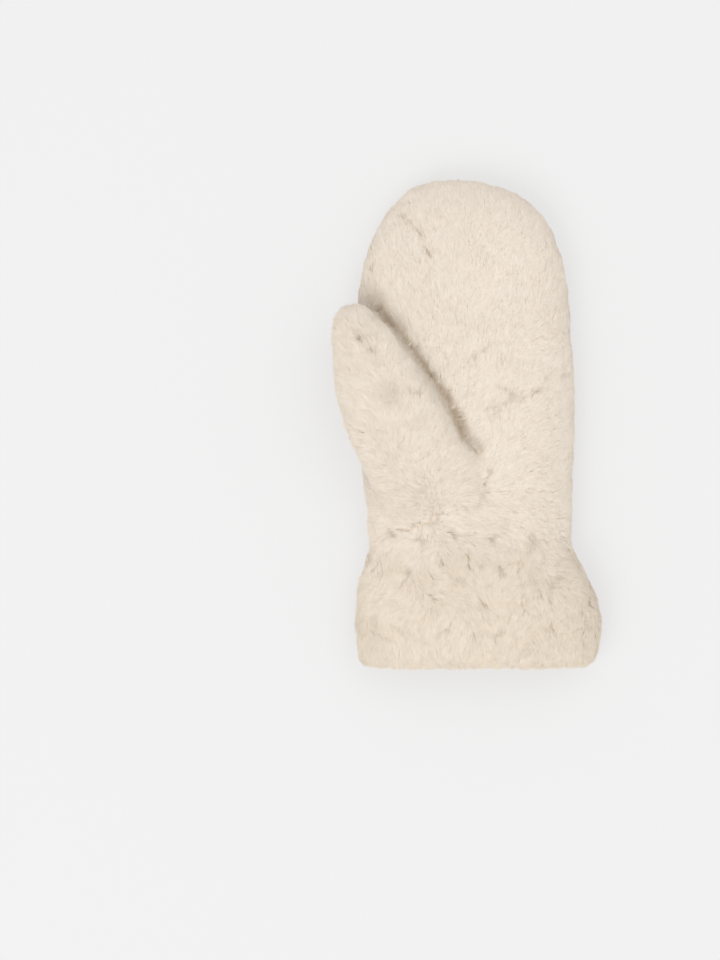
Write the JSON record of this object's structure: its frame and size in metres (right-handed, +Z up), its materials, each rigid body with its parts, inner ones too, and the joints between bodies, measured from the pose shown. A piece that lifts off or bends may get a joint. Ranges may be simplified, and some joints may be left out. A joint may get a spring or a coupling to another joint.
{
  "type": "faux-fur mitten",
  "caption": "Soft plush fur mitten for the left hand, lying palm up, with a thumb folded across the palm and a flared, rolled fur cuff that opens at the wrist.",
  "frame": {"origin": "middle of the mitten's box seen from above, on the surface that it lies on", "axes": "+Y along the hand from the cuff to the fingertips, +Z up and out of the palm, -X on the thumb's side"},
  "size_m": [0.153, 0.2776, 0.0615],
  "materials": {
    "plush_fur": "dense cream plush pile about 10 mm deep, combed along the hand, matt with a soft sheen",
    "cuff_fur": "the same plush, a little longer and warmer in tone, rolled over at the rim"
  },
  "bodies": {
    "root": {"back_panel": "plush_fur", "palm_panel": "plush_fur", "thumb_stall": "plush_fur", "cuff_band": "cuff_fur"}
  },
  "joints": []
}
